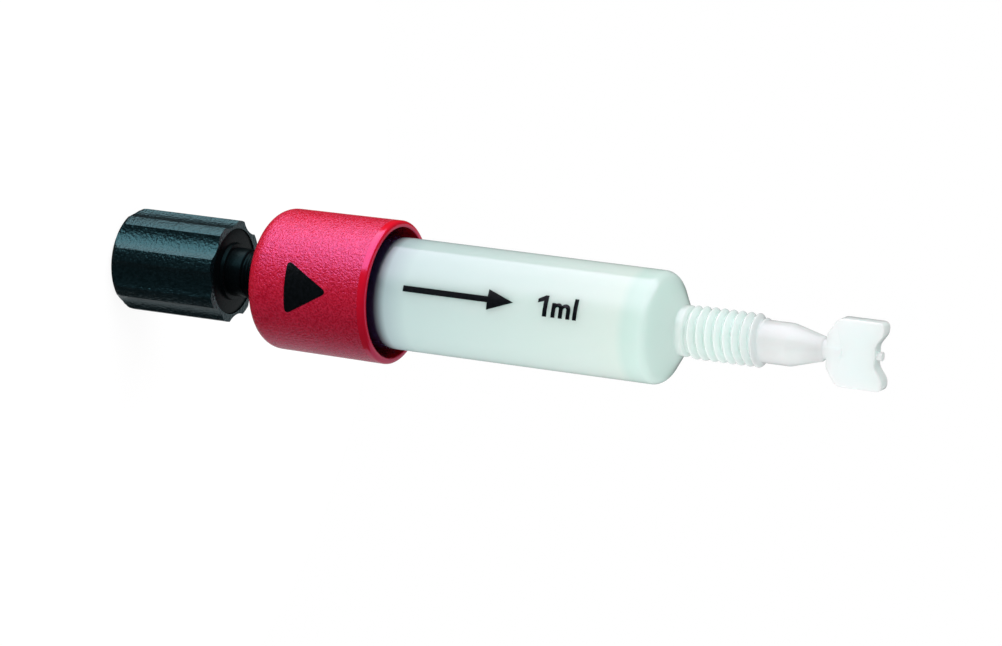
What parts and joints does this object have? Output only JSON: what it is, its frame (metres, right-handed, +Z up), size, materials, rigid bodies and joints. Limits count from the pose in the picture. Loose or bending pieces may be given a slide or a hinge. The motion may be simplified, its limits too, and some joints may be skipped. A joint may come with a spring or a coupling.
{
  "type": "prepacked chromatography column",
  "caption": "Small prepacked chromatography column with a textured screw-port cap, a fluted screw stopper at the inlet and a snap-off tab on its threaded outlet.",
  "frame": {"origin": "middle of the flat end of the stopper's grip, on which the column stands", "axes": "+Z is up and runs along the barrel's axis from the inlet stopper to the outlet tab; -Y is the front, which the printed side and the flat of the tab face; the tab's width lies along X"},
  "size_m": [0.0154, 0.0154, 0.0886],
  "materials": {
    "milky_polypropylene": "translucent milky polypropylene, moulded, satin gloss",
    "porous_polyethylene": "white sintered polyethylene",
    "resin_bed": "wet white agarose beads",
    "dark_polypropylene": "dark moulded polypropylene",
    "ring_rubber": "black ring rubber",
    "red_polypropylene": "red polypropylene with a fine spark-eroded grain",
    "black_screw_plastic": "smooth black polypropylene",
    "black_grip_plastic": "black polypropylene with a fine grain"
  },
  "bodies": {
    "stopper": {"stopper_screw": "black_screw_plastic", "stopper_grip": "black_grip_plastic"},
    "seal": {"sealing_ring": "ring_rubber"},
    "column": {"barrel": "milky_polypropylene", "bottom_frit": "porous_polyethylene", "packed_bed": "resin_bed", "top_frit": "porous_polyethylene", "inlet_adaptor": "dark_polypropylene", "top_cap": "red_polypropylene"}
  },
  "joints": [
    {"name": "stopper_travel", "type": "slide", "parent": "stopper", "child": "seal", "axis": [0, 0, 1], "range_m": [0, 0.006]},
    {"name": "stopper_turn", "type": "hinge", "parent": "seal", "child": "column", "pos_m": [0, 0, 0.0205], "axis": [0, 0, 1], "range_deg": [0, 2160]}
  ],
  "couplings": [
    {"joint": "stopper_turn", "follows": "stopper_travel", "rad_per_m": 6283.2}
  ]
}
